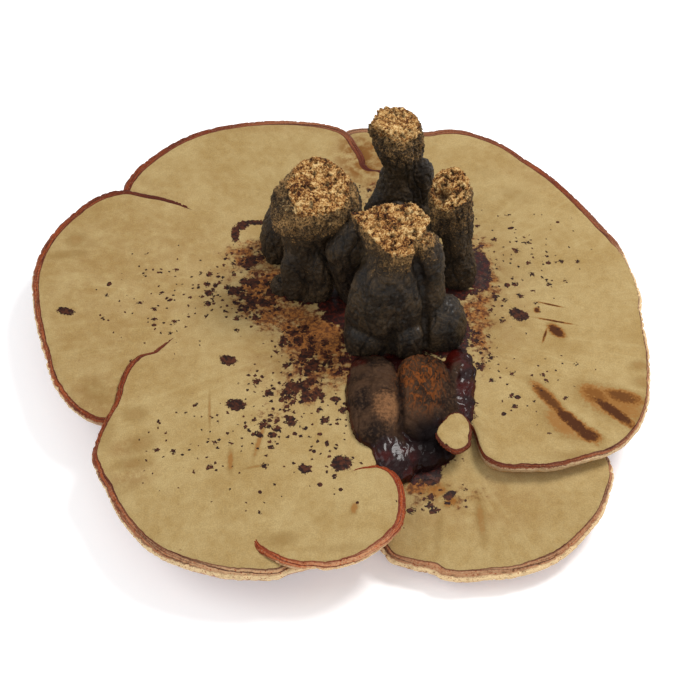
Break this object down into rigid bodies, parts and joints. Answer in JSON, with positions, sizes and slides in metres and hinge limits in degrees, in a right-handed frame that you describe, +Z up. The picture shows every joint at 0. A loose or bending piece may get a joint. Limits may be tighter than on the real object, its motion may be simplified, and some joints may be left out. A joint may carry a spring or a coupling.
{
  "type": "bracket fungus",
  "caption": "Large compound bracket fungus lying pore side up, with overlapping tan caps, red-brown rims and dark cut stems standing on its lacquered foot.",
  "frame": {"origin": "bottom centre of the bounding box, on the surface the fungus rests on", "axes": "+Z up, along the cut stems; -Y towards the side with the foot and the lower cap; +X towards the right cap"},
  "size_m": [0.4138, 0.398, 0.1409],
  "materials": {
    "caps": "matt tan pore surface with red-brown lacquered rims and skin",
    "foot": "glossy dark red lacquer, worn brown on the knobs",
    "stems": "dark grained bark with a slight gloss and pale fibrous cut ends"
  },
  "bodies": {
    "root": {"left_caps": "caps", "right_cap": "caps", "lower_cap": "caps", "small_cap": "caps", "foot": "foot", "stem_left": "stems", "stem_back": "stems", "stem_right": "stems", "stem_front": "stems"}
  },
  "joints": []
}
